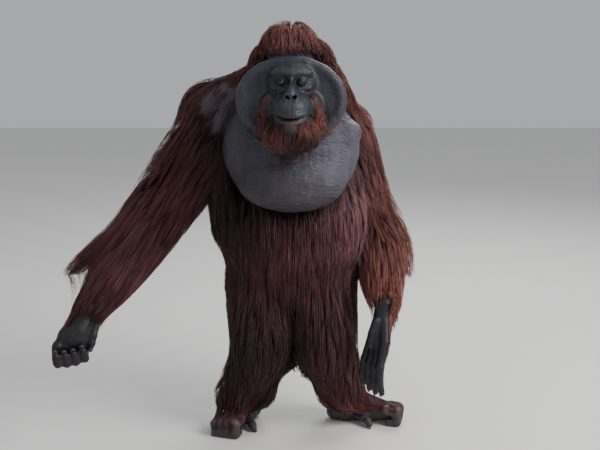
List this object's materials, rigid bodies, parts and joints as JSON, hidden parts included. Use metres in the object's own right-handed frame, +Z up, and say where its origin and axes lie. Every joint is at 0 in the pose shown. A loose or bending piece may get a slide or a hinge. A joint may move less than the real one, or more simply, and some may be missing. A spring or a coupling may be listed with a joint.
{
  "type": "orangutan",
  "caption": "Adult male orangutan standing upright, with wide cheek pads, a throat pouch and long hair, its right fist held out low and its left arm hanging.",
  "frame": {"origin": "on the floor, below the middle of the bounding box", "axes": "+Z up; the animal faces -Y and its right side is at -X"},
  "size_m": [1.1494, 0.666, 1.3557],
  "materials": {
    "coat": "long shaggy hair, dark reddish brown to orange",
    "skin": "bare dark blue-grey skin, pebbled on the cheek pads",
    "pouch": "bare grey-purple skin with fine wrinkles",
    "eye": "wet dark brown"
  },
  "bodies": {
    "root": {"head": "coat", "lower_jaw": "coat", "cheek_pad_right": "skin", "cheek_pad_left": "skin", "ear_right": "skin", "ear_left": "skin", "eye_right": "eye", "eye_left": "eye", "neck": "coat", "throat_pouch": "pouch", "trunk": "coat", "upper_arm_right": "coat", "upper_arm_left": "coat", "forearm_right": "coat", "forearm_left": "coat", "hand_right": "skin", "hand_left": "skin", "thigh_right": "coat", "thigh_left": "coat", "shin_right": "coat", "shin_left": "coat", "foot_right": "skin", "foot_left": "skin"}
  },
  "joints": []
}
